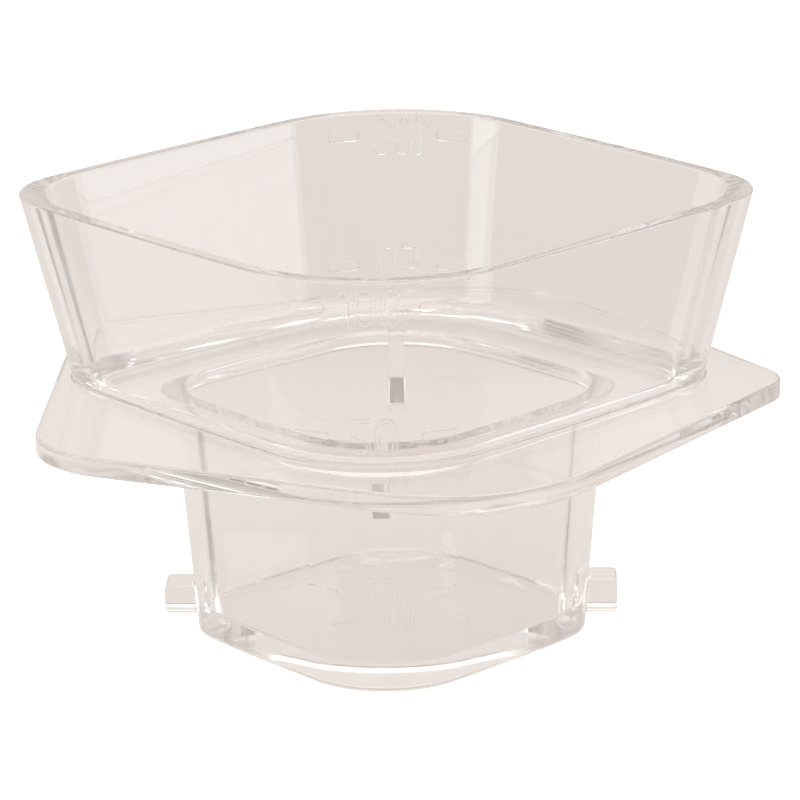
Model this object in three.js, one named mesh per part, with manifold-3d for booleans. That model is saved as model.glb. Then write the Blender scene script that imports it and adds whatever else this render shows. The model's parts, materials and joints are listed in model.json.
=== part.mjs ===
// Clear measuring cup with a square, flared mouth, a five-sided flange and a
// smaller square neck that is closed at the bottom. The corners of the mouth
// and of the neck point along X and Y. The origin is in the middle of the
// underside, Z is up, and every length is in millimetres.
import * as THREE from 'three';
import { mergeVertices } from 'three/addons/utils/BufferGeometryUtils.js';
import Module from 'manifold-3d';

// Heights above the underside
const HEIGHT = 52.4;
const FLANGE_TOP = 30.7;
const FLANGE_THICKNESS = 2.2;
const LEDGE_TOP = 30.1;
const FLOOR_TOP = 3.0;

// Square outlines: the distance from the axis to the rounded corners on X and on
// Y, their radii, and the radius of the slightly bowed sides between them
const MOUTH_TIP = 41.6;
const MOUTH_BASE_TIP = 36.1;
const MOUTH = { xTip: MOUTH_TIP, yTip: MOUTH_TIP, xRadius: 11.1, yRadius: 18.5, bowRadius: 660 };
const NECK_TIP = 24.8;
const NECK_BASE_TIP = 22.4;
const NECK = { xTip: NECK_TIP, yTip: NECK_TIP, xRadius: 8.1, yRadius: 12.2, bowRadius: 360 };

// The walls are thicker in their corners, most of all in those on X
const MOUTH_HOLLOW = { xTip: 38.4, yTip: 39.4, xRadius: 13.6, yRadius: 17.5, bowRadius: 660 };
const NECK_HOLLOW = { xTip: 22.1, yTip: 22.9, xRadius: 9.6, yRadius: 11.1, bowRadius: 360 };
const WALL = 1.7;

// How much wider the opening into the neck is at the ledge
const LIP_SCALE = 1.07;

// Five-sided flange: sharp corner, then the radius that rounds it
const FLANGE_CORNERS = [
  { x: -38.0, y: -30.0, radius: 12 },
  { x: 14.6, y: -51.2, radius: 18 },
  { x: 45.9, y: -2.0, radius: 6.4 },
  { x: 14.6, y: 47.2, radius: 18 },
  { x: -38.0, y: 25.9, radius: 12 },
];

// Bayonet lugs on the X corners of the neck
const LUG = { reach: 26.2, width: 4.8, bottom: 2.5, leftTop: 5.9, rightTop: 6.6, gap: 0.3, edge: 0.5 };

// Locating ribs on the Y corners of the neck, right under the flange
const RIB = { width: 2.1, proud: 1.2, root: 20.9, shoulder: 24.0, gap: 0.3 };

// Volume marks, raised from the outside of both Y corners
const MARK = { height: 4.7, stroke: 0.55, raised: 0.2, dashFrom: 4.9, dashTo: 8.8, dashHeight: 1.2 };
const ZERO_WIDTH = 2.5;
const FIVE_WIDTH = 2.1;
const DIGIT_GAP = 0.55;
const MARKS_ON_MOUTH = [
  { digits: '100', z: 49.3 },
  { digits: '50', z: 34.1 },
];
const MARKS_ON_NECK = [{ digits: '10', z: 11.5 }];

const CURVE_SEGMENTS = 3;
const MARK_SEGMENTS = 5;

const CLEAR = { color: 0xe6dbd5, roughness: 0.08, metalness: 0, transparent: true, opacity: 0.35 };

const wasm = await Module();
wasm.setup();

function toSolid(geometry) {
  const bare = geometry.clone();
  bare.deleteAttribute('normal');
  bare.deleteAttribute('uv');
  const merged = mergeVertices(bare, 1e-4);
  return new wasm.Manifold(new wasm.Mesh({
    numProp: 3,
    vertProperties: new Float32Array(merged.attributes.position.array),
    triVerts: new Uint32Array(merged.index.array),
  }));
}

function toGeometry(solid) {
  const mesh = solid.getMesh();
  const geometry = new THREE.BufferGeometry();
  geometry.setAttribute('position', new THREE.BufferAttribute(mesh.vertProperties, 3));
  geometry.setIndex(new THREE.BufferAttribute(mesh.triVerts, 1));
  geometry.computeVertexNormals();
  return geometry;
}

// Adds the square with rounded corners and bowed sides to a shape or a hole.
// Each bowed side is an arc that encloses both corner circles and touches them.
function drawSquare(path, { xTip, yTip, xRadius, yRadius, bowRadius }) {
  const xCentre = xTip - xRadius;
  const yCentre = yTip - yRadius;
  const apart = Math.hypot(xCentre, yCentre);
  const toX = bowRadius - xRadius;
  const toY = bowRadius - yRadius;
  const along = (toX * toX - toY * toY + apart * apart) / (2 * apart);
  const across = Math.sqrt(toX * toX - along * along);
  const bowX = xCentre - (along * xCentre) / apart - (across * yCentre) / apart;
  const bowY = (along * yCentre) / apart - (across * xCentre) / apart;
  const first = Math.atan2(-bowY, xCentre - bowX);
  const last = Math.atan2(yCentre - bowY, -bowX);
  const turn = Math.PI;
  path.absarc(xCentre, 0, xRadius, -first, first);
  path.absarc(bowX, bowY, bowRadius, first, last);
  path.absarc(0, yCentre, yRadius, last, turn - last);
  path.absarc(-bowX, bowY, bowRadius, turn - last, turn - first);
  path.absarc(-xCentre, 0, xRadius, turn - first, turn + first);
  path.absarc(-bowX, -bowY, bowRadius, turn + first, turn + last);
  path.absarc(0, -yCentre, yRadius, turn + last, 2 * turn - last);
  path.absarc(bowX, -bowY, bowRadius, 2 * turn - last, 2 * turn - first);
  return path;
}

function inset(square, depth) {
  return {
    xTip: square.xTip - depth,
    yTip: square.yTip - depth,
    xRadius: square.xRadius - depth,
    yRadius: square.yRadius - depth,
    bowRadius: square.bowRadius - depth,
  };
}

function extrude(shape, bottom, top, curveSegments = CURVE_SEGMENTS) {
  const options = { depth: top - bottom, bevelEnabled: false, curveSegments };
  return new THREE.ExtrudeGeometry(shape, options).translate(0, 0, bottom);
}

// Draws a body in towards the axis, in proportion to its depth below z = top
function taper(geometry, top, bottom, bottomScale) {
  const position = geometry.attributes.position;
  for (let i = 0; i < position.count; i += 1) {
    const depth = (top - position.getZ(i)) / (top - bottom);
    const scale = 1 + (bottomScale - 1) * depth;
    position.setX(i, position.getX(i) * scale);
    position.setY(i, position.getY(i) * scale);
  }
  return geometry;
}

function squareShape(outer, inner) {
  const shape = drawSquare(new THREE.Shape(), outer);
  if (inner) {
    shape.holes.push(drawSquare(new THREE.Path(), inner));
  }
  return shape;
}

const FLANGE_BOTTOM = FLANGE_TOP - FLANGE_THICKNESS;
const mouthScale = MOUTH_BASE_TIP / MOUTH_TIP;
const neckScale = NECK_BASE_TIP / NECK_TIP;

// Shells that follow the flared mouth and the tapered neck
function mouthShell(outer, inner) {
  const straight = extrude(squareShape(outer, inner), FLANGE_TOP, HEIGHT);
  return toSolid(taper(straight, HEIGHT, FLANGE_TOP, mouthScale));
}

function neckShell(outer, inner, bottom = FLOOR_TOP, top = FLANGE_BOTTOM) {
  return toSolid(taper(extrude(squareShape(outer, inner), bottom, top), FLANGE_BOTTOM, 0, neckScale));
}

// A polygon with rounded corners
function roundedPolygon(corners) {
  const shape = new THREE.Shape();
  corners.forEach((corner, i) => {
    const here = new THREE.Vector2(corner.x, corner.y);
    const before = corners.at(i - 1);
    const after = corners[(i + 1) % corners.length];
    const back = new THREE.Vector2(before.x, before.y).sub(here).normalize();
    const forward = new THREE.Vector2(after.x, after.y).sub(here).normalize();
    const halfAngle = Math.acos(back.dot(forward)) / 2;
    const middle = back.clone().add(forward).normalize();
    const centre = middle.multiplyScalar(corner.radius / Math.sin(halfAngle)).add(here);
    const start = Math.atan2(-back.x, back.y) + Math.PI;
    const sweep = Math.PI - 2 * halfAngle;
    shape.absarc(centre.x, centre.y, corner.radius, start, start + sweep);
  });
  return shape;
}

// The flange plate. The ledge inside the mouth lies a little below its top, and
// the opening in it narrows towards the neck.
function makeFlange() {
  const shape = roundedPolygon(FLANGE_CORNERS);
  shape.holes.push(drawSquare(new THREE.Path(), NECK_HOLLOW));
  const plate = toSolid(extrude(shape, FLANGE_BOTTOM, FLANGE_TOP, 2 * CURVE_SEGMENTS));
  const hollow = extrude(squareShape(MOUTH_HOLLOW), LEDGE_TOP, HEIGHT);
  const lip = extrude(squareShape(NECK_HOLLOW), FLANGE_BOTTOM, FLANGE_TOP);
  return toGeometry(
    plate
      .subtract(toSolid(taper(hollow, HEIGHT, FLANGE_TOP, mouthScale)))
      .subtract(toSolid(taper(lip, FLANGE_BOTTOM, LEDGE_TOP, LIP_SCALE)))
  );
}

// Digits and dashes as flat shapes, centred on (0, 0)
function zeroShape() {
  const ring = (path, shrink) => {
    const radius = ZERO_WIDTH / 2 - shrink;
    const rise = MARK.height / 2 - ZERO_WIDTH / 2;
    path.absarc(0, rise, radius, 0, Math.PI);
    path.absarc(0, -rise, radius, Math.PI, 2 * Math.PI);
    return path;
  };
  const shape = ring(new THREE.Shape(), 0);
  shape.holes.push(ring(new THREE.Path(), MARK.stroke));
  return shape;
}

function barShape(width, height) {
  const shape = new THREE.Shape();
  shape.moveTo(-width / 2, -height / 2);
  shape.lineTo(width / 2, -height / 2);
  shape.lineTo(width / 2, height / 2);
  shape.lineTo(-width / 2, height / 2);
  return shape;
}

function fiveShape() {
  const { height, stroke } = MARK;
  const bowl = FIVE_WIDTH / 2 + 0.1;
  const left = -FIVE_WIDTH / 2;
  const right = FIVE_WIDTH / 2;
  const bowlTop = -height / 2 + 2 * bowl;
  const bowlX = right - bowl;
  const shape = new THREE.Shape();
  shape.moveTo(right, height / 2);
  shape.lineTo(left, height / 2);
  shape.lineTo(left, bowlTop - stroke);
  shape.lineTo(bowlX, bowlTop - stroke);
  shape.absarc(bowlX, -height / 2 + bowl, bowl - stroke, Math.PI / 2, -Math.PI * 0.95, true);
  shape.absarc(bowlX, -height / 2 + bowl, bowl, -Math.PI * 0.95, Math.PI / 2);
  shape.lineTo(left + stroke, bowlTop);
  shape.lineTo(left + stroke, height / 2 - stroke);
  shape.lineTo(right, height / 2 - stroke);
  return shape;
}

function dashShape() {
  const shape = new THREE.Shape();
  const radius = MARK.dashHeight / 2;
  const reach = (MARK.dashTo - MARK.dashFrom) / 2 - radius;
  shape.absarc(reach, 0, radius, -Math.PI / 2, Math.PI / 2);
  shape.absarc(-reach, 0, radius, Math.PI / 2, (3 * Math.PI) / 2);
  return shape;
}

const DIGITS = {
  0: { width: ZERO_WIDTH, shape: zeroShape() },
  1: { width: MARK.stroke, shape: barShape(MARK.stroke, MARK.height) },
  5: { width: FIVE_WIDTH, shape: fiveShape() },
};

// One volume mark as flat prisms along Y: its digits between two dashes
function markPrisms({ digits, z }) {
  const glyphs = [...digits].map((name) => DIGITS[name]);
  const total = glyphs.reduce((sum, glyph) => sum + glyph.width + DIGIT_GAP, -DIGIT_GAP);
  const placed = [];
  let x = -total / 2;
  glyphs.forEach((glyph) => {
    placed.push({ shape: glyph.shape, x: x + glyph.width / 2 });
    x += glyph.width + DIGIT_GAP;
  });
  const dashX = (MARK.dashFrom + MARK.dashTo) / 2;
  placed.push({ shape: dashShape(), x: -dashX });
  placed.push({ shape: dashShape(), x: dashX });
  return placed.map((item) => {
    const prism = extrude(item.shape, 0, 2 * MOUTH_TIP, MARK_SEGMENTS);
    return prism.rotateX(Math.PI / 2).translate(item.x, 0, z);
  });
}

// Raises the marks from a wall, on the -Y corner and, turned half round, on +Y
function raiseMarks(wall, skin, marks) {
  let result = wall;
  marks.flatMap(markPrisms).forEach((prism) => {
    for (const angle of [0, Math.PI]) {
      const raised = toSolid(prism.clone().rotateZ(angle)).intersect(skin);
      result = result.add(raised);
    }
  });
  return result;
}

function makeMouth() {
  const wall = mouthShell(MOUTH, MOUTH_HOLLOW);
  const skin = mouthShell(inset(MOUTH, -MARK.raised), inset(MOUTH, WALL / 2));
  return toGeometry(raiseMarks(wall, skin, MARKS_ON_MOUTH));
}

function makeNeck() {
  const wall = neckShell(NECK, NECK_HOLLOW);
  const skin = neckShell(inset(NECK, -MARK.raised), inset(NECK, WALL / 2));
  return toGeometry(raiseMarks(wall, skin, MARKS_ON_NECK));
}

function makeFloor() {
  return taper(extrude(squareShape(NECK), 0, FLOOR_TOP), FLANGE_BOTTOM, 0, neckScale);
}

// A rounded block that grows out of an X corner of the neck
function makeLug(side, top) {
  const start = NECK_BASE_TIP - 3;
  const depth = LUG.reach - start;
  const shape = new THREE.Shape();
  const halfWidth = LUG.width / 2;
  shape.moveTo(0, -halfWidth);
  shape.lineTo(depth - LUG.edge, -halfWidth);
  shape.absarc(depth - LUG.edge, -halfWidth + LUG.edge, LUG.edge, -Math.PI / 2, 0);
  shape.absarc(depth - LUG.edge, halfWidth - LUG.edge, LUG.edge, 0, Math.PI / 2);
  shape.lineTo(0, halfWidth);
  const block = extrude(shape, LUG.bottom, top).translate(start, 0, 0);
  const neck = neckShell(inset(NECK, -LUG.gap), null, 0);
  return toGeometry(toSolid(block.rotateZ(side < 0 ? Math.PI : 0)).subtract(neck));
}

// A narrow rib down a Y corner of the neck that runs out into the wall
function makeRib(side) {
  const start = NECK_BASE_TIP - 3;
  const reach = NECK_TIP + RIB.proud;
  const shape = new THREE.Shape();
  shape.moveTo(start, RIB.root);
  shape.lineTo(NECK_TIP - RIB.gap, RIB.root);
  shape.lineTo(reach, RIB.shoulder);
  shape.lineTo(reach, FLANGE_BOTTOM);
  shape.lineTo(start, FLANGE_BOTTOM);
  const web = extrude(shape, -RIB.width / 2, RIB.width / 2).rotateX(Math.PI / 2);
  const neck = neckShell(inset(NECK, -RIB.gap), null, 0);
  return toGeometry(toSolid(web.rotateZ((side * Math.PI) / 2)).subtract(neck));
}

const group = new THREE.Group();

function addPiece(name, geometry) {
  const mesh = new THREE.Mesh(geometry, new THREE.MeshStandardMaterial(CLEAR));
  mesh.name = name;
  group.add(mesh);
}

addPiece('mouth_wall', makeMouth());
addPiece('shoulder_flange', makeFlange());
addPiece('neck_wall', makeNeck());
addPiece('cup_floor', makeFloor());
addPiece('bayonet_lug_left', makeLug(-1, LUG.leftTop));
addPiece('bayonet_lug_right', makeLug(1, LUG.rightTop));
addPiece('locating_rib_front', makeRib(-1));
addPiece('locating_rib_back', makeRib(1));

export default group;
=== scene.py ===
import json
import math

import bpy
import numpy as np
from mathutils import Matrix, Vector
from mathutils.bvhtree import BVHTree
from mathutils.geometry import delaunay_2d_cdt

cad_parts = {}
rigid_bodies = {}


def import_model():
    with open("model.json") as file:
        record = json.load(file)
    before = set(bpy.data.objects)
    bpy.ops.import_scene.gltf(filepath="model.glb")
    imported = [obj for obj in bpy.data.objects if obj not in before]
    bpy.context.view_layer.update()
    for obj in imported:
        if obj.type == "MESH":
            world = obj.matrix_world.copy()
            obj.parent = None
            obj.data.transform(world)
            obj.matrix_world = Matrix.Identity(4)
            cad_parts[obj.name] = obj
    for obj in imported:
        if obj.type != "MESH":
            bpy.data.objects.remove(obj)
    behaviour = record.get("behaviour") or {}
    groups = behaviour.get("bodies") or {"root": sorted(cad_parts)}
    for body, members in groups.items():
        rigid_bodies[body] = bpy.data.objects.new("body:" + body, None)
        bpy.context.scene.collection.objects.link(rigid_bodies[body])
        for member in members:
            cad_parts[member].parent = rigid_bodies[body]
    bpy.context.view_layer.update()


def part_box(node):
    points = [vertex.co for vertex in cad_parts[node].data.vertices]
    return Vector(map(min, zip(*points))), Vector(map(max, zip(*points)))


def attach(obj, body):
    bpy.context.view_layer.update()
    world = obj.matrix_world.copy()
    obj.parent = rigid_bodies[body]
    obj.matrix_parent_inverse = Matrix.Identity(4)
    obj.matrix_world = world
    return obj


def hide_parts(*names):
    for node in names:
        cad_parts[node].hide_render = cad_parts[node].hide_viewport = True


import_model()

# The cup is one clear injection moulding. Its skin is built whole, in millimetres,
# so that light crosses it as it crosses one solid. It is then divided where the CAD
# nodes divide it, into closed pieces whose shared faces let light through unbent.

MM = 0.001


def box_mm(node):
    """The lower and upper corner of a node's box, in millimetres."""
    low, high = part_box(node)
    return [v / MM for v in low], [v / MM for v in high]


mouth_low, mouth_high = box_mm("mouth_wall")
flange_low, _ = box_mm("shoulder_flange")
_, neck_high = box_mm("neck_wall")
_, floor_high = box_mm("cup_floor")
HEIGHT = mouth_high[2]
FLANGE_TOP = mouth_low[2]
FLANGE_BOTTOM = flange_low[2]
FLOOR_TOP = floor_high[2]
LEDGE_TOP = 30.1

# The square outlines, as in the part: corner distance, corner radii, side radius
MOUTH_TIP = mouth_high[0]
MOUTH = {"x_tip": MOUTH_TIP, "y_tip": MOUTH_TIP, "x_radius": 11.1, "y_radius": 18.5, "bow": 660.0}
MOUTH_HOLLOW = {
    "x_tip": MOUTH_TIP - 3.2, "y_tip": MOUTH_TIP - 2.2,
    "x_radius": 13.6, "y_radius": 17.5, "bow": 660.0,
}
NECK_TIP = neck_high[0]
NECK = {"x_tip": NECK_TIP, "y_tip": NECK_TIP, "x_radius": 8.1, "y_radius": 12.2, "bow": 360.0}
NECK_HOLLOW = {
    "x_tip": NECK_TIP - 2.7, "y_tip": NECK_TIP - 1.9,
    "x_radius": 9.6, "y_radius": 11.1, "bow": 360.0,
}
# Corner distance of the mouth where it stands on the flange
MOUTH_BASE_TIP = 36.1
MOUTH_SLOPE = (1 - MOUTH_BASE_TIP / MOUTH_TIP) / (HEIGHT - FLANGE_TOP)
NECK_SLOPE = (1 - floor_high[0] / NECK_TIP) / (FLANGE_BOTTOM - FLOOR_TOP)
# X, Y and rounding of the flange's five corners
FLANGE_CORNERS = [
    (-38.0, -30.0, 12.0),
    (14.6, -51.2, 18.0),
    (45.9, -2.0, 6.4),
    (14.6, 47.2, 18.0),
    (-38.0, 25.9, 12.0),
]

# Radii of the edges and of the hollow corners
FOOT_EDGE = 0.7
FLANGE_ROOT = 0.6
FLANGE_EDGE = 0.35
MOUTH_ROOT = 0.4
RIM_EDGE = 0.3
LEDGE_HOLLOW = 2.4
OPENING_EDGE = 0.8
FLOOR_HOLLOW = 0.6

ARC_STEPS = 5
CORNER_X_STEPS = 22
CORNER_Y_STEPS = 30
SIDE_STEPS = 32


def unit(v):
    return v / np.linalg.norm(v, axis=-1, keepdims=True)


def arc(centre, radius, first, last, steps):
    angle = np.linspace(first, last, steps, endpoint=False)
    normal = np.stack([np.cos(angle), np.sin(angle)], 1)
    return np.array(centre) + radius * normal, normal


def square_outline(x_tip, y_tip, x_radius, y_radius, bow):
    """Points and outward normals of the square whose bowed sides touch its corner arcs."""
    xc, yc = x_tip - x_radius, y_tip - y_radius
    apart = math.hypot(xc, yc)
    to_x, to_y = bow - x_radius, bow - y_radius
    along = (to_x**2 - to_y**2 + apart**2) / (2 * apart)
    across = math.sqrt(to_x**2 - along**2)
    bx = xc - along * xc / apart - across * yc / apart
    by = along * yc / apart - across * xc / apart
    first = math.atan2(-by, xc - bx)
    last = math.atan2(yc - by, -bx)
    turn = math.pi
    parts = [
        arc((xc, 0), x_radius, -first, first, CORNER_X_STEPS),
        arc((bx, by), bow, first, last, SIDE_STEPS),
        arc((0, yc), y_radius, last, turn - last, CORNER_Y_STEPS),
        arc((-bx, by), bow, turn - last, turn - first, SIDE_STEPS),
        arc((-xc, 0), x_radius, turn - first, turn + first, CORNER_X_STEPS),
        arc((-bx, -by), bow, turn + first, turn + last, SIDE_STEPS),
        arc((0, -yc), y_radius, turn + last, 2 * turn - last, CORNER_Y_STEPS),
        arc((bx, -by), bow, 2 * turn - last, 2 * turn - first, SIDE_STEPS),
    ]
    return np.concatenate([p for p, _ in parts]), np.concatenate([n for _, n in parts])


def polygon_outline(corners, steps=14, edge_steps=10):
    """Points and outward normals of a polygon with rounded corners."""
    arcs = []
    for i, (x, y, radius) in enumerate(corners):
        here = np.array([x, y])
        back = unit(np.array(corners[i - 1][:2]) - here)
        forward = unit(np.array(corners[(i + 1) % len(corners)][:2]) - here)
        half = math.acos(float(back @ forward)) / 2
        centre = here + unit(back + forward) * radius / math.sin(half)
        start = math.atan2(-back[0], back[1]) + math.pi
        arcs.append(arc(centre, radius, start, start + math.pi - 2 * half, steps))
        end_normal = np.array([forward[1], -forward[0]])
        end = centre + radius * end_normal
        arcs.append((end[None], end_normal[None]))
    points, normals = [], []
    for i, (p, n) in enumerate(arcs):
        points.append(p)
        normals.append(n)
        if i % 2:
            following = arcs[(i + 1) % len(arcs)][0][0]
            share = np.arange(1, edge_steps)[:, None] / edge_steps
            points.append(p[0] * (1 - share) + following * share)
            normals.append(np.repeat(n, edge_steps - 1, 0))
    return np.concatenate(points), np.concatenate(normals)


class Skin:
    """Vertices with their own normals, and triangles."""

    def __init__(self):
        self.points, self.normals, self.triangles, self.count = [], [], [], 0

    def ring(self, points, normals):
        self.points.append(points)
        self.normals.append(unit(normals))
        self.count += len(points)
        return np.arange(self.count - len(points), self.count)

    def bridge(self, a, b):
        a2, b2 = np.roll(a, -1), np.roll(b, -1)
        self.triangles += [np.stack([a, a2, b2], 1), np.stack([a, b2, b], 1)]

    def chain(self, rings):
        for a, b in zip(rings, rings[1:]):
            self.bridge(a, b)

    def fill(self, rings, facing, flat=None):
        """Fills the area inside the first ring and outside the others, which are
        convex. flat lays the rings out in a plane, where X and Y don't."""
        points = np.concatenate(self.points)
        index = np.concatenate(rings)
        plane = points[index][:, :2] if flat is None else flat
        edges, start = [], 0
        for ring in rings:
            n = len(ring)
            edges += [(start + i, start + (i + 1) % n) for i in range(n)]
            start += n
        found = delaunay_2d_cdt([Vector(p) for p in plane], edges, [], 2, 1e-7)
        source = [ids[0] for ids in found[3]]
        faces = np.array([[index[source[i]] for i in face] for face in found[2]])
        for ring in rings[1:]:
            faces = faces[~np.isin(faces, ring).all(1)]
        a, b, c = (points[faces[:, k]] for k in range(3))
        if np.sum(np.cross(b - a, c - a) @ np.array(facing)) < 0:
            faces = faces[:, ::-1]
        self.triangles.append(faces)

    def arrays(self):
        return (
            np.concatenate(self.points),
            np.concatenate(self.normals),
            np.concatenate(self.triangles),
        )


def raised(points, z):
    return np.concatenate([points, np.full((len(points), 1), float(z))], 1)


class Wall:
    """A tapered wall: an outline that grows in proportion to its height."""

    def __init__(self, square, slope, full_height, inset=0.0):
        outline, self.flat = square_outline(**square)
        self.outline = outline - self.flat * inset
        self.slope, self.full_height = slope, full_height
        lean = -slope * np.sum(self.flat * self.outline, 1, keepdims=True)
        self.normal = unit(np.concatenate([self.flat, lean], 1))

    def scale(self, z):
        return 1 - self.slope * (self.full_height - z)

    def points(self, z, outset=0.0):
        return raised(self.outline * self.scale(z) + self.flat * outset, z)


mouth_outer = Wall(MOUTH, MOUTH_SLOPE, HEIGHT)
mouth_inner = Wall(MOUTH_HOLLOW, MOUTH_SLOPE, HEIGHT)
neck_outer = Wall(NECK, NECK_SLOPE, FLANGE_BOTTOM)
neck_inner = Wall(NECK_HOLLOW, NECK_SLOPE, FLANGE_BOTTOM)
UP = np.array([0.0, 0.0, 1.0])


def quarter(skin, place, start_normal, end_normal):
    """Rings round a quarter circle, turned from one normal to the other. place gets two
    shares of the radius: the first grows from 0 to 1, the second falls from 1 to 0."""
    rings = []
    for k in range(ARC_STEPS + 1):
        angle = math.pi / 2 * k / ARC_STEPS
        normal = start_normal * math.cos(angle) + end_normal * math.sin(angle)
        rings.append(skin.ring(place(1 - math.cos(angle), 1 - math.sin(angle)), normal))
    return rings


def make_moulding():
    """The skin of the whole cup, from its underside to the floor of its hollow."""
    skin = Skin()
    r = FOOT_EDGE
    out = neck_outer.normal
    down = -UP * np.ones_like(out)
    up = UP * np.ones_like(out)
    foot = quarter(
        skin, lambda c, s: neck_outer.points(r * c, -r * s), down, out
    )
    f = FLANGE_ROOT
    root = quarter(
        skin,
        lambda c, s: neck_outer.points(FLANGE_BOTTOM - f * s, f * c),
        out,
        down,
    )
    skin.fill([foot[0]], -UP)
    skin.chain(foot + root)

    edge, edge_flat = polygon_outline(FLANGE_CORNERS)
    edge_out = raised(edge_flat, 0)
    edge_up = UP * np.ones_like(edge_out)
    e = FLANGE_EDGE
    lower = quarter(
        skin,
        lambda c, s: raised(edge - edge_flat * e * s, FLANGE_BOTTOM + e * c),
        -edge_up,
        edge_out,
    )
    upper = quarter(
        skin,
        lambda c, s: raised(edge - edge_flat * e * c, FLANGE_TOP - e * s),
        edge_out,
        edge_up,
    )
    skin.fill([lower[0], root[-1]], -UP)
    skin.chain(lower + upper)

    out = mouth_outer.normal
    m = MOUTH_ROOT
    base = quarter(
        skin, lambda c, s: mouth_outer.points(FLANGE_TOP + m * c, m * s), up, out
    )
    skin.fill([upper[-1], base[0]], UP)
    q = RIM_EDGE
    rim = quarter(
        skin, lambda c, s: mouth_outer.points(HEIGHT - q * s, -q * c), out, up
    )
    inward = -mouth_inner.normal
    rim += quarter(
        skin, lambda c, s: mouth_inner.points(HEIGHT - q * c, q * s), up, inward
    )
    h = LEDGE_HOLLOW
    hollow = quarter(
        skin, lambda c, s: mouth_inner.points(LEDGE_TOP + h * s, -h * c), inward, up
    )
    inward = -neck_inner.normal
    o = OPENING_EDGE
    opening = quarter(
        skin, lambda c, s: neck_inner.points(LEDGE_TOP - o * c, o * s), up, inward
    )
    g = FLOOR_HOLLOW
    floor = quarter(
        skin, lambda c, s: neck_inner.points(FLOOR_TOP + g * s, -g * c), inward, up
    )
    skin.chain(base + rim + hollow + opening + floor)
    skin.fill([floor[-1]], UP)
    return skin.arrays()


# ---------------------------------------------------------------- marks
MARK_HEIGHT = 4.7
STROKE = 0.58
RAISED = 0.2
DASH_START, DASH_END, DASH_HALF = 4.9, 8.8, 0.6
TOP = MARK_HEIGHT / 2
# Height of the middle of each mark
MARK_100_MIDDLE = 49.3
MARK_50_MIDDLE = 34.1
MARK_10_MIDDLE = 11.5


def dense(points, step=0.35):
    """The same closed line with more points."""
    points = [np.array(p, float) for p in points]
    result = []
    for a, b in zip(points, points[1:] + points[:1]):
        n = max(1, math.ceil(np.linalg.norm(b - a) / step))
        result += [a + (b - a) * k / n for k in range(n)]
    return np.array(result)


def outward(loop):
    """Normals to the right of a closed line, stretched to keep the width at its corners."""
    a = unit(loop - np.roll(loop, 1, 0))
    b = unit(np.roll(loop, -1, 0) - loop)
    middle = unit(a + b)
    stretch = 1 / np.maximum(np.sum(middle * a, 1, keepdims=True), 0.4)
    return np.stack([middle[:, 1], -middle[:, 0]], 1) * stretch


def oval(half_width, half_height, steps=56):
    angle = np.linspace(0, 2 * math.pi, steps, endpoint=False)
    x = np.sign(np.cos(angle)) * np.abs(np.cos(angle)) ** 0.85 * half_width
    z = np.sign(np.sin(angle)) * np.abs(np.sin(angle)) ** 0.85 * half_height
    return np.stack([x, z], 1)


def zero_loops(width):
    inner = oval(width / 2 - STROKE, TOP - STROKE)
    return [oval(width / 2, TOP), inner[::-1]]


def one_loops(width):
    right, left = width / 2, width / 2 - STROKE
    return [dense([
        (right, -TOP), (right, TOP), (left + 0.1, TOP), (-right, TOP - 0.6),
        (-right, TOP - 1.25), (left, TOP - 0.95), (left, -TOP),
    ])]


def five_loops(width):
    right, left = width / 2, -width / 2
    bowl = width / 2 + 0.12
    cx, cz = right - bowl, -TOP + bowl
    inner = [(cx + (bowl - STROKE) * math.cos(t), cz + (bowl - STROKE) * math.sin(t))
             for t in np.linspace(math.pi / 2, -0.85 * math.pi, 16)]
    outer = [(cx + bowl * math.cos(t), cz + bowl * math.sin(t))
             for t in np.linspace(-0.85 * math.pi, math.pi / 2, 22)]
    crown = cz + bowl
    return [dense(
        [(right - 0.1, TOP), (left, TOP), (left, crown - STROKE)] + inner + outer
        + [(left + STROKE, crown), (left + STROKE, TOP - STROKE), (right - 0.1, TOP - STROKE)]
    )]


def dash_loops(start, end):
    right, _ = arc((end - DASH_HALF, 0), DASH_HALF, -math.pi / 2, math.pi / 2, 9)
    left, _ = arc((start + DASH_HALF, 0), DASH_HALF, math.pi / 2, 1.5 * math.pi, 9)
    right_end = [(end - DASH_HALF, DASH_HALF)]
    left_end = [(start + DASH_HALF, -DASH_HALF)]
    return [dense(list(right) + right_end + list(left) + left_end)]


GLYPHS = {"0": (2.5, zero_loops), "1": (1.1, one_loops), "5": (2.1, five_loops)}
GLYPH_GAP = 0.35
# (distance inside the outline, height over the wall, turn of the normal)
RELIEF = [
    (0.0, -0.5, 0.0),
    (0.0, RAISED - 0.16, 0.0),
    (0.05, RAISED - 0.05, 0.8),
    (0.16, RAISED, math.pi / 2),
]


def on_wall(wall, z_middle, side, flat, out):
    """Places a flat pattern on the wall's Y corner, out over its surface."""
    z = z_middle + flat[:, 1]
    scale = wall.scale(z)
    near = wall.outline[:, 1] < 0
    order = np.argsort(wall.outline[near, 0])
    x_known = wall.outline[near, 0][order]
    x = flat[:, 0] / scale
    y = np.interp(x, x_known, wall.outline[near, 1][order]) * scale
    normal = np.stack(
        [np.interp(x, x_known, wall.normal[near, k][order]) for k in range(3)], 1
    )
    normal = unit(normal)
    point = np.stack([flat[:, 0], y, z], 1) + normal * out
    if side > 0:
        turn = np.array([-1.0, -1.0, 1.0])
        point, normal = point * turn, normal * turn
    return point, normal


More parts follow.
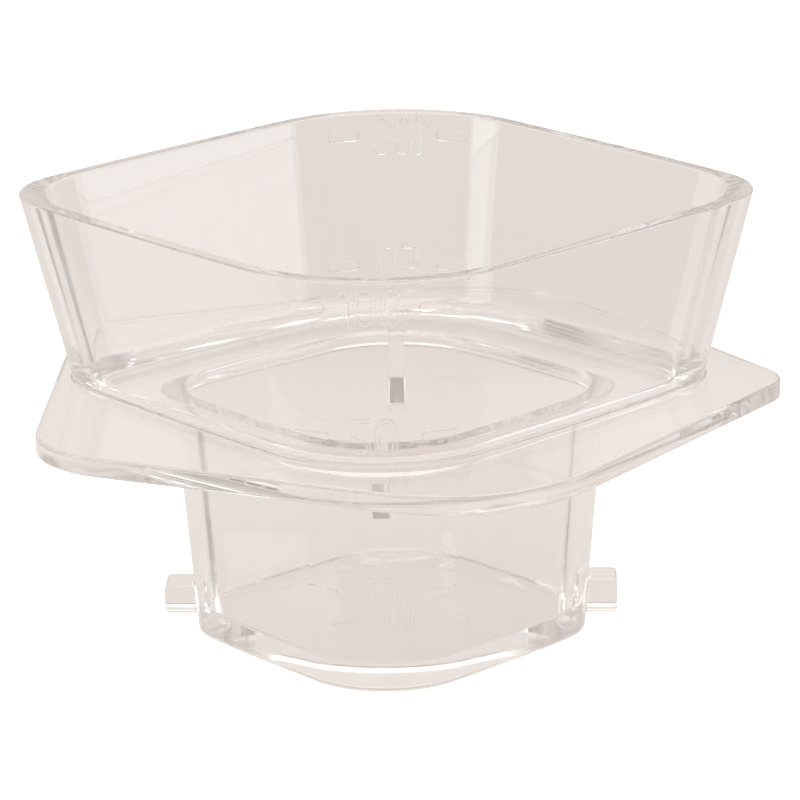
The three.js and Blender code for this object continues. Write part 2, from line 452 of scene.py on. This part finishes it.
def make_mark(wall, z, side, loops):
    """One raised figure of a mark, with a rounded edge."""
    skin = Skin()
    levels, layouts = [], []
    for inside, height, turn in RELIEF:
        rings, layout = [], []
        for loop in loops:
            flat = loop - outward(loop) * inside
            point, normal = on_wall(wall, z, side, flat, height)
            ahead, _ = on_wall(wall, z, side, flat + outward(loop) * 0.01, height)
            turned = unit(ahead - point) * math.cos(turn) + normal * math.sin(turn)
            rings.append(skin.ring(point, turned))
            layout.append(flat)
        levels.append(rings)
        layouts.append(np.concatenate(layout))
    for k in range(len(loops)):
        skin.chain([rings[k] for rings in levels])
    outside = np.array([0.0, float(side), 0.0])
    skin.fill(levels[-1], outside, layouts[-1])
    skin.fill(levels[0], -outside, layouts[0])
    return skin.arrays()


def make_marks():
    made = []
    for wall, z, digits in (
        (mouth_outer, MARK_100_MIDDLE, "100"),
        (mouth_outer, MARK_50_MIDDLE, "50"),
        (neck_outer, MARK_10_MIDDLE, "10"),
    ):
        widths = [GLYPHS[d][0] for d in digits]
        x = -(sum(widths) + GLYPH_GAP * (len(digits) - 1)) / 2
        figures = []
        for digit, width in zip(digits, widths):
            loops = GLYPHS[digit][1](width)
            figures.append([loop + [x + width / 2, 0] for loop in loops])
            x += width + GLYPH_GAP
        figures.append(dash_loops(DASH_START, DASH_END))
        figures.append(dash_loops(-DASH_END, -DASH_START))
        for side in (-1, 1):
            made += [make_mark(wall, z, side, loops) for loops in figures]
    return made


# ---------------------------------------------------------------- lugs and ribs
def rounded_rectangle(half_width, half_height, radius, steps=4):
    points, normals = [], []
    for sx, sy, first in ((1, -1, -0.5), (1, 1, 0), (-1, 1, 0.5), (-1, -1, 1)):
        centre = (sx * (half_width - radius), sy * (half_height - radius))
        p, n = arc(centre, radius, first * math.pi, (first + 0.5) * math.pi, steps)
        last = (first + 0.5) * math.pi
        n = np.concatenate([n, [[math.cos(last), math.sin(last)]]])
        points.append(np.array(centre) + radius * n)
        normals.append(n)
    return np.concatenate(points), np.concatenate(normals)


def surface_x(wall, y, z):
    """Distance out along X to the wall's X corner at these points."""
    near = wall.outline[:, 0] > 0
    order = np.argsort(wall.outline[near, 1])
    scale = wall.scale(z)
    return np.interp(y / scale, wall.outline[near, 1][order], wall.outline[near, 0][order]) * scale


# Radii of a lug's outer edges, of its root on the neck, and of its four long edges
LUG_END = 0.55
LUG_ROOT = 0.5
LUG_CORNER = 0.5
# How deep a lug starts inside the wall, and how steeply its root leaves the wall
LUG_SUNK = 0.6
LUG_STEEP = math.radians(72)


def make_lug(node):
    """A block with rounded edges that grows out of an X corner of the neck."""
    low, high = box_mm(node)
    side = 1 if high[0] > 0 else -1
    reach = max(abs(low[0]), abs(high[0]))
    half_width, half_height = (high[1] - low[1]) / 2, (high[2] - low[2]) / 2
    middle = (high[2] + low[2]) / 2
    flat, flat_normal = rounded_rectangle(half_width, half_height, LUG_CORNER)
    skin = Skin()
    rings = []

    def ring(out, spread, turn, end):
        section = flat + flat_normal * spread
        y, z = section[:, 0], section[:, 1] + middle
        x = surface_x(neck_outer, y, z) + out if not end else np.full(len(y), reach + out)
        points = np.stack([x, y, z], 1)
        normal = np.concatenate([np.zeros((len(y), 1)), flat_normal], 1) * math.cos(turn)
        normal[:, 0] += math.sin(turn)
        rings.append(skin.ring(points * [side, side, 1], normal * [side, side, 1]))

    spread = LUG_ROOT * (1 - math.cos(LUG_STEEP))
    ring(-LUG_SUNK, spread, LUG_STEEP, False)
    for k in range(ARC_STEPS + 1):
        angle = LUG_STEEP * (1 - k / ARC_STEPS)
        out = LUG_ROOT * (math.sin(LUG_STEEP) - math.sin(angle))
        ring(out, LUG_ROOT * (1 - math.cos(angle)), angle, False)
    for k in range(ARC_STEPS + 1):
        angle = math.pi / 2 * k / ARC_STEPS
        ring(LUG_END * (math.sin(angle) - 1), LUG_END * (math.cos(angle) - 1), angle, True)
    skin.chain(rings)
    skin.fill([rings[0]], (-side, 0, 0), flat)
    skin.fill([rings[-1]], (side, 0, 0), flat)
    return skin.arrays()


# A rib from the top down: a straight face, a slope, and a thin foot along the neck
RIB_FACE_END = 24.2
RIB_SLOPE_START = 23.9
RIB_SLOPE_END = 21.1
RIB_FOOT_START = 20.7
RIB_FOOT_END = 18.6
# Heights at which the neck's outside is measured for the slope's end and the foot's end
RIB_SURFACE_HEIGHTS = (20.9, 18.8)
# How far the normals dip on the slope and on the foot
RIB_SLOPE_DIP = 0.52
RIB_FOOT_DIP = 0.1
RIB_EDGE = 0.25
# How far a rib reaches past its node's box: up into the flange and in to the neck's wall
RIB_SUNK = 0.8


def make_rib(node):
    """A narrow rib on a Y corner of the neck, under the flange."""
    low, high = box_mm(node)
    side = 1 if high[1] > 0 else -1
    reach = max(abs(low[1]), abs(high[1]))
    half = (high[0] - low[0]) / 2
    edge = RIB_EDGE
    skin = Skin()
    rings = []
    root = min(abs(low[1]), abs(high[1])) - RIB_SUNK
    upper, lower = [
        surface_x(neck_outer, np.zeros(1), np.array([z]))[0] for z in RIB_SURFACE_HEIGHTS
    ]
    profile = [
        (FLANGE_BOTTOM + RIB_SUNK, reach, 0.0),
        (RIB_FACE_END, reach, 0.0),
        (RIB_SLOPE_START, reach - 0.06, RIB_SLOPE_DIP),
        (RIB_SLOPE_END, upper + 0.2, RIB_SLOPE_DIP),
        (RIB_FOOT_START, upper + 0.1, RIB_FOOT_DIP),
        (RIB_FOOT_END, lower - 0.1, RIB_FOOT_DIP),
    ]
    for z, out, dip in profile:
        angle = np.linspace(0, math.pi / 2, 4)
        corner = np.stack([half - edge + edge * np.sin(angle), out - edge + edge * np.cos(angle)], 1)
        normal = np.stack([np.sin(angle), np.cos(angle)], 1)
        points = np.concatenate([[[-half, root]], (corner * [-1, 1])[::-1], corner, [[half, root]]])
        normals = np.concatenate([[[-1, 0]], (normal * [-1, 1])[::-1], normal, [[1, 0]]])
        points, normals = raised(points, z), raised(normals, 0)
        normals[:, 2] = -math.tan(dip) * normals[:, 1]
        turn = [1, 1, 1] if side > 0 else [-1, -1, 1]
        rings.append(skin.ring(points * turn, normals * turn))
    skin.chain(rings)
    skin.fill([rings[0]], UP)
    skin.fill([rings[-1]], -UP)
    return skin.arrays()


# ---------------------------------------------------------------- one solid, then pieces
def new_object(name, points, triangles):
    """A mesh object made from points in millimetres."""
    mesh = bpy.data.meshes.new(name)
    mesh.from_pydata((points * MM).tolist(), [], triangles.tolist())
    mesh.validate()
    obj = bpy.data.objects.new(name, mesh)
    bpy.context.scene.collection.objects.link(obj)
    return obj


def joined(parts):
    """Several parts as one list of points, normals and triangles."""
    points, normals, triangles, count = [], [], [], 0
    for p, n, t in parts:
        points.append(p)
        normals.append(n)
        triangles.append(t + count)
        count += len(p)
    return np.concatenate(points), np.concatenate(normals), np.concatenate(triangles)


def combine(obj, other, operation):
    """A new mesh object: obj joined with, cut by or kept inside other."""
    result = obj.copy()
    result.data = obj.data.copy()
    bpy.context.scene.collection.objects.link(result)
    step = result.modifiers.new("combine", "BOOLEAN")
    step.solver = "MANIFOLD"
    step.operation = operation
    step.object = other
    bpy.context.view_layer.update()
    graph = bpy.context.evaluated_depsgraph_get()
    mesh = bpy.data.meshes.new_from_object(result.evaluated_get(graph))
    result.modifiers.clear()
    result.data = mesh
    return result


def facing_out(part):
    """The same closed part with its triangles turned so that they face out."""
    points, normals, triangles = part
    a, b, c = (points[triangles[:, k]] for k in range(3))
    volume = np.sum(np.cross(a, b) * c)
    return part if volume > 0 else (points, normals, triangles[:, ::-1])


def block(low, high):
    """A box in millimetres."""
    points = np.array([
        [x, y, z] for z in (low[2], high[2])
        for x, y in ((low[0], low[1]), (high[0], low[1]), (high[0], high[1]), (low[0], high[1]))
    ], float)
    faces = np.array([
        (0, 2, 1), (0, 3, 2), (4, 5, 6), (4, 6, 7), (0, 1, 5), (0, 5, 4),
        (1, 2, 6), (1, 6, 5), (2, 3, 7), (2, 7, 6), (3, 0, 4), (3, 4, 7),
    ])
    return new_object("block", points, faces)


def neck_core():
    """The neck up to just under its outside, from below the foot to above the flange."""
    core = Wall(NECK, NECK_SLOPE, FLANGE_BOTTOM, JOINT_DEPTH)
    skin = Skin()
    rings = [skin.ring(core.points(z), core.normal) for z in (-2.0, FLANGE_TOP + 2.0)]
    skin.chain(rings)
    skin.fill([rings[0]], -UP)
    skin.fill([rings[1]], UP)
    core_points, _, core_triangles = facing_out(skin.arrays())
    return new_object("neck_core", core_points, core_triangles)


# Where the cup is divided: a little off the flats, so that no joint lies in one
JOINT_DEPTH = 0.35
MOUTH_CUT = FLANGE_TOP + 0.15
NECK_CUT = FLANGE_BOTTOM - 0.15
FLOOR_CUT = FLOOR_TOP + 0.15
# Room round a lug, beside a rib and below it, that goes with its piece
LUG_ROOM = LUG_ROOT + 0.3
RIB_ROOM = 0.5
RIB_ROOM_BELOW = 3.2
FAR = 100.0

# A face lies on the cup's skin where the skin is this near, in metres, and faces
# much the same way. Of several such places the one that fits best is taken, and
# DISTANCE_COST says how much a metre apart counts against a likeness in facing.
SKIN_REACH = 2e-6
SKIN_ALIKE = 0.9
DISTANCE_COST = 1e5

objects_before = list(bpy.data.objects)
moulding = facing_out(make_moulding())
attached = [facing_out(p) for p in make_marks()]
attached += [facing_out(make_lug(n)) for n in ("bayonet_lug_left", "bayonet_lug_right")]
attached += [facing_out(make_rib(n)) for n in ("locating_rib_front", "locating_rib_back")]

points, normals, triangles = joined([moulding] + attached)
base = new_object("base", moulding[0], moulding[2])
extra_points, _, extra_triangles = joined(attached)
extra = new_object("extra", extra_points, extra_triangles)
whole = combine(base, extra, "UNION")


def divide():
    """The eight pieces, as unshaded solids that share their joint faces."""
    core = neck_core()
    zones = {}
    for node in ("bayonet_lug_left", "bayonet_lug_right"):
        side = 1 if "right" in node else -1
        (_, low_y, low_z), (_, high_y, high_z) = box_mm(node)
        xs = sorted((side * NECK_TIP / 2, side * FAR))
        zone = block(
            (xs[0], low_y - LUG_ROOM, low_z - LUG_ROOM),
            (xs[1], high_y + LUG_ROOM, high_z + LUG_ROOM),
        )
        zones[node] = combine(zone, core, "DIFFERENCE")
    for node in ("locating_rib_front", "locating_rib_back"):
        side = 1 if "back" in node else -1
        (low_x, _, low_z), (high_x, _, _) = box_mm(node)
        ys = sorted((side * NECK_TIP / 2, side * FAR))
        zone = block(
            (low_x - RIB_ROOM, ys[0], low_z - RIB_ROOM_BELOW),
            (high_x + RIB_ROOM, ys[1], NECK_CUT),
        )
        zones[node] = combine(zone, core, "DIFFERENCE")
    levels = (
        ("mouth_wall", MOUTH_CUT, FAR),
        ("shoulder_flange", NECK_CUT, MOUTH_CUT),
        ("neck_wall", FLOOR_CUT, NECK_CUT),
        ("cup_floor", -FAR, FLOOR_CUT),
    )
    pieces = {node: combine(whole, zone, "INTERSECT") for node, zone in zones.items()}
    for node, low_z, high_z in levels:
        piece = combine(whole, block((-FAR, -FAR, low_z), (FAR, FAR, high_z)), "INTERSECT")
        if node in ("neck_wall", "cup_floor"):
            for zone in zones.values():
                piece = combine(piece, zone, "DIFFERENCE")
        pieces[node] = piece
    return pieces


def shade(obj, tree):
    """Gives the faces on the cup's skin the skin's own normals, and marks the rest as joints."""
    mesh = obj.data
    corner_normals = np.zeros((len(mesh.loops), 3))
    joint = np.zeros(len(mesh.polygons), bool)
    for face in mesh.polygons:
        found = [
            hit for hit in tree.find_nearest_range(face.center, SKIN_REACH)
            if hit[1].dot(face.normal) > SKIN_ALIKE
        ]
        if not found:
            joint[face.index] = True
            for i in face.loop_indices:
                corner_normals[i] = face.normal
            continue
        best = max(
            found, key=lambda hit: hit[1].dot(face.normal) - hit[3] * DISTANCE_COST
        )[2]
        a, b, c = points[triangles[best]] * MM
        na, nb, nc = normals[triangles[best]]
        area = np.cross(b - a, c - a)
        square = max(area @ area, 1e-30)
        for i in face.loop_indices:
            p = np.array(mesh.vertices[mesh.loops[i].vertex_index].co)
            u = np.cross(c - b, p - b) @ area / square
            v = np.cross(a - c, p - c) @ area / square
            normal = na * u + nb * v + nc * (1 - u - v)
            corner_normals[i] = normal / max(np.linalg.norm(normal), 1e-9)
    mesh.polygons.foreach_set("use_smooth", np.ones(len(mesh.polygons), bool))
    mesh.normals_split_custom_set(corner_normals.tolist())
    return joint


pieces = divide()
skin_tree = BVHTree.FromPolygons(
    [tuple(p) for p in points * MM], triangles.tolist(), all_triangles=True
)
on_joint = {}
for node, piece in pieces.items():
    piece.name = node + "_skin"
    on_joint[node] = shade(piece, skin_tree)
for leftover in list(bpy.data.objects):
    if leftover.type == "MESH" and leftover not in objects_before and leftover not in pieces.values():
        bpy.data.objects.remove(leftover)


# ---------------------------------------------------------------- materials
def new_material(name):
    """A new material, with its nodes and links."""
    material = bpy.data.materials.new(name)
    material.use_nodes = True
    return material, material.node_tree.nodes, material.node_tree.links


def add_noise(nodes, links, place, scale, detail):
    """Noise over the object's own coordinates."""
    noise = nodes.new("ShaderNodeTexNoise")
    noise.inputs["Scale"].default_value = scale
    noise.inputs["Detail"].default_value = detail
    links.new(place.outputs["Object"], noise.inputs["Vector"])
    return noise


def add_range(nodes, start, end):
    """Turns values from start to end into values from 0 to 1."""
    span = nodes.new("ShaderNodeMapRange")
    span.inputs["From Min"].default_value = start
    span.inputs["From Max"].default_value = end
    return span


def add_colour_mix(nodes, **colours):
    """Mixes the colours A and B. One that isn't given here comes by a link."""
    mix = nodes.new("ShaderNodeMix")
    mix.data_type = "RGBA"
    for name, colour in colours.items():
        mix.inputs[name].default_value = (*colour, 1)
    return mix


TINT_SCALE = 22
SCRATCH_SCALE = 900
FLOW_SCALE = 60
PLASTIC_IOR = 1.52


def clear_plastic():
    """Clear moulded plastic: a faint warm tint that varies, flow waves and scratches."""
    material, nodes, links = new_material("clear_plastic")
    shader = nodes["Principled BSDF"]
    output = nodes["Material Output"]
    shader.inputs["Transmission Weight"].default_value = 1.0
    shader.inputs["IOR"].default_value = PLASTIC_IOR
    place = nodes.new("ShaderNodeTexCoord")

    cloud = add_noise(nodes, links, place, TINT_SCALE, 2)
    tint = add_colour_mix(nodes, A=(0.985, 0.975, 0.968), B=(0.965, 0.95, 0.94))
    links.new(cloud.outputs["Fac"], tint.inputs["Factor"])
    # Light that has run far along inside the walls comes out darker and warmer
    path = nodes.new("ShaderNodeLightPath")
    depth = add_range(nodes, 5, 36)
    links.new(path.outputs["Ray Depth"], depth.inputs["Value"])
    deep = add_colour_mix(nodes, B=(0.34, 0.3, 0.27))
    links.new(depth.outputs["Result"], deep.inputs["Factor"])
    links.new(tint.outputs["Result"], deep.inputs["A"])
    links.new(deep.outputs["Result"], shader.inputs["Base Color"])

    wear = add_noise(nodes, links, place, SCRATCH_SCALE, 3)
    rough = add_range(nodes, 0.45, 0.8)
    rough.inputs["To Min"].default_value = 0.015
    rough.inputs["To Max"].default_value = 0.07
    links.new(wear.outputs["Fac"], rough.inputs["Value"])
    links.new(rough.outputs["Result"], shader.inputs["Roughness"])

    flow = add_noise(nodes, links, place, FLOW_SCALE, 1)
    bump = nodes.new("ShaderNodeBump")
    bump.inputs["Strength"].default_value = 0.05
    bump.inputs["Distance"].default_value = 0.0004
    links.new(flow.outputs["Fac"], bump.inputs["Height"])
    links.new(bump.outputs["Normal"], shader.inputs["Normal"])

    # Shadow rays go straight through, so the cup's shadow stays pale
    open_side = nodes.new("ShaderNodeBsdfTransparent")
    open_side.inputs["Color"].default_value = (0.93, 0.92, 0.91, 1)
    mix = nodes.new("ShaderNodeMixShader")
    links.new(path.outputs["Is Shadow Ray"], mix.inputs["Fac"])
    links.new(shader.outputs["BSDF"], mix.inputs[1])
    links.new(open_side.outputs["BSDF"], mix.inputs[2])
    links.new(mix.outputs["Shader"], output.inputs["Surface"])
    return material


def joint_material():
    """Where two pieces of the one moulding meet, light passes unbent."""
    material, nodes, links = new_material("joint")
    through = nodes.new("ShaderNodeBsdfTransparent")
    nodes.remove(nodes["Principled BSDF"])
    links.new(through.outputs["BSDF"], nodes["Material Output"].inputs["Surface"])
    return material


plastic = clear_plastic()
joint = joint_material()
for node, piece in pieces.items():
    piece.data.materials.clear()
    piece.data.materials.append(plastic)
    piece.data.materials.append(joint)
    piece.data.polygons.foreach_set("material_index", on_joint[node].astype(np.int32))
    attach(piece, "root")
    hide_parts(node)


# ---------------------------------------------------------------- floor, light and camera
# The floor in metres: half its width, how far back it reaches, and its drop under the foot
FLOOR_HALF = 4.0
FLOOR_BACK = 0.55
FLOOR_DROP = 0.0002
# How far back the floor's glow starts and ends its change from near to far
GLOW_START = 0.09
GLOW_END = 0.15
LIGHT_BOUNCES = 128


def floor_material():
    """White to the camera, and a pale warm glow to light that comes through the cup."""
    material, nodes, links = new_material("studio_floor")
    shader = nodes["Principled BSDF"]
    shader.inputs["Roughness"].default_value = 0.9
    shader.inputs["Specular IOR Level"].default_value = 0.0
    path = nodes.new("ShaderNodeLightPath")
    tint = add_colour_mix(nodes, A=(0.1, 0.1, 0.1), B=(0.98, 0.98, 0.98))
    links.new(path.outputs["Is Camera Ray"], tint.inputs["Factor"])
    links.new(tint.outputs["Result"], shader.inputs["Base Color"])
    place = nodes.new("ShaderNodeTexCoord")
    split = nodes.new("ShaderNodeSeparateXYZ")
    links.new(place.outputs["Object"], split.inputs["Vector"])
    depth = add_range(nodes, GLOW_START, GLOW_END)
    depth.interpolation_type = "SMOOTHSTEP"
    links.new(split.outputs["Y"], depth.inputs["Value"])
    fade = add_colour_mix(nodes, A=(0.665, 0.611, 0.574), B=(0.592, 0.532, 0.492))
    links.new(depth.outputs["Result"], fade.inputs["Factor"])
    glow = add_colour_mix(nodes, B=(0, 0, 0))
    links.new(fade.outputs["Result"], glow.inputs["A"])
    links.new(path.outputs["Is Camera Ray"], glow.inputs["Factor"])
    links.new(glow.outputs["Result"], shader.inputs["Emission Color"])
    shader.inputs["Emission Strength"].default_value = 1.0
    return material


def make_floor():
    """The flat floor that the cup stands on."""
    mesh = bpy.data.meshes.new("studio_floor")
    corners = [
        (-FLOOR_HALF, -FLOOR_HALF, 0),
        (FLOOR_HALF, -FLOOR_HALF, 0),
        (FLOOR_HALF, FLOOR_BACK, 0),
        (-FLOOR_HALF, FLOOR_BACK, 0),
    ]
    mesh.from_pydata(corners, [], [(0, 1, 2, 3)])
    mesh.materials.append(floor_material())
    obj = bpy.data.objects.new("studio_floor", mesh)
    obj.location.z = -FLOOR_DROP
    bpy.context.scene.collection.objects.link(obj)
    return obj


def make_world():
    """A pale room. Behind the table it is darker near the horizon."""
    world = bpy.data.worlds.new("studio")
    world.use_nodes = True
    nodes, links = world.node_tree.nodes, world.node_tree.links
    path = nodes.new("ShaderNodeLightPath")
    tint = add_colour_mix(nodes, B=(1.5, 1.5, 1.5))
    links.new(path.outputs["Is Diffuse Ray"], tint.inputs["Factor"])
    links.new(tint.outputs["Result"], nodes["Background"].inputs["Color"])

    direction = nodes.new("ShaderNodeTexCoord")
    split = nodes.new("ShaderNodeSeparateXYZ")
    links.new(direction.outputs["Generated"], split.inputs["Vector"])
    height = add_range(nodes, 0.08, 0.3)
    height.interpolation_type = "SMOOTHSTEP"
    links.new(split.outputs["Z"], height.inputs["Value"])
    front = add_range(nodes, 0.95, 0.8)
    front.interpolation_type = "SMOOTHSTEP"
    links.new(split.outputs["Y"], front.inputs["Value"])
    either = nodes.new("ShaderNodeMath")
    either.operation = "MAXIMUM"
    links.new(height.outputs["Result"], either.inputs[0])
    links.new(front.outputs["Result"], either.inputs[1])
    room = add_colour_mix(nodes, A=(0.46, 0.42, 0.39), B=(0.85, 0.80, 0.76))
    links.new(either.outputs["Value"], room.inputs["Factor"])
    links.new(room.outputs["Result"], tint.inputs["A"])
    return world


def soft_box(name, location, size, power, colour):
    """A soft box that stands upright and faces the cup, or hangs over it and faces down."""
    light = bpy.data.lights.new(name, "AREA")
    light.shape = "RECTANGLE"
    light.size, light.size_y = size
    light.energy = power
    light.color = colour
    obj = bpy.data.objects.new(name, light)
    obj.location = location
    aim = Vector((-location[0], -location[1], 0))
    if aim.length > 0:
        obj.rotation_mode = "QUATERNION"
        obj.rotation_quaternion = aim.to_track_quat("-Z", "Y")
    bpy.context.scene.collection.objects.link(obj)
    return obj


# The camera's place in metres, its lens in millimetres, and how it is turned
CAMERA_PLACE = (0.0198, -0.4854, 0.1698)
CAMERA_LENS = 198.7
CAMERA_TURN = math.radians(2.18)
CAMERA_PITCH = math.radians(16.33)
CAMERA_ROLL = math.radians(0.82)


def make_camera():
    """The camera, which looks a little down at the cup's front corner."""
    data = bpy.data.cameras.new("camera")
    data.sensor_width = 36
    data.lens = CAMERA_LENS
    data.clip_start, data.clip_end = 0.01, 20
    obj = bpy.data.objects.new("camera", data)
    level = math.cos(CAMERA_PITCH)
    forward = Vector((
        -math.sin(CAMERA_TURN) * level,
        math.cos(CAMERA_TURN) * level,
        -math.sin(CAMERA_PITCH),
    ))
    right = Vector((math.cos(CAMERA_TURN), math.sin(CAMERA_TURN), 0))
    down = forward.cross(right)
    side_axis = right * math.cos(CAMERA_ROLL) + down * math.sin(CAMERA_ROLL)
    down_axis = down * math.cos(CAMERA_ROLL) - right * math.sin(CAMERA_ROLL)
    rows = [
        (side_axis[k], -down_axis[k], -forward[k], CAMERA_PLACE[k]) for k in range(3)
    ]
    obj.matrix_world = Matrix((*rows, (0, 0, 0, 1)))
    bpy.context.scene.collection.objects.link(obj)
    return obj


studio_floor = make_floor()
bpy.context.scene.world = make_world()
soft_box("soft_left", (-0.886, -0.156, 0.45), (0.41, 0.9), 1.9, (0.85, 1.0, 1.0))
soft_box("soft_right", (0.929, 0.140, 0.45), (0.283, 0.9), 1.160, (0.81, 0.90, 1.0))
soft_box("soft_top", (0, 0, 0.9), (0.9, 0.9), 3.6, (1.0, 1.0, 1.0))
bpy.context.scene.camera = make_camera()
bpy.context.scene.view_settings.view_transform = "Standard"

# Light runs along inside the walls and the flange for many reflections
paths = bpy.context.scene.cycles
paths.max_bounces = LIGHT_BOUNCES
paths.glossy_bounces = LIGHT_BOUNCES
paths.transmission_bounces = LIGHT_BOUNCES
paths.transparent_max_bounces = LIGHT_BOUNCES
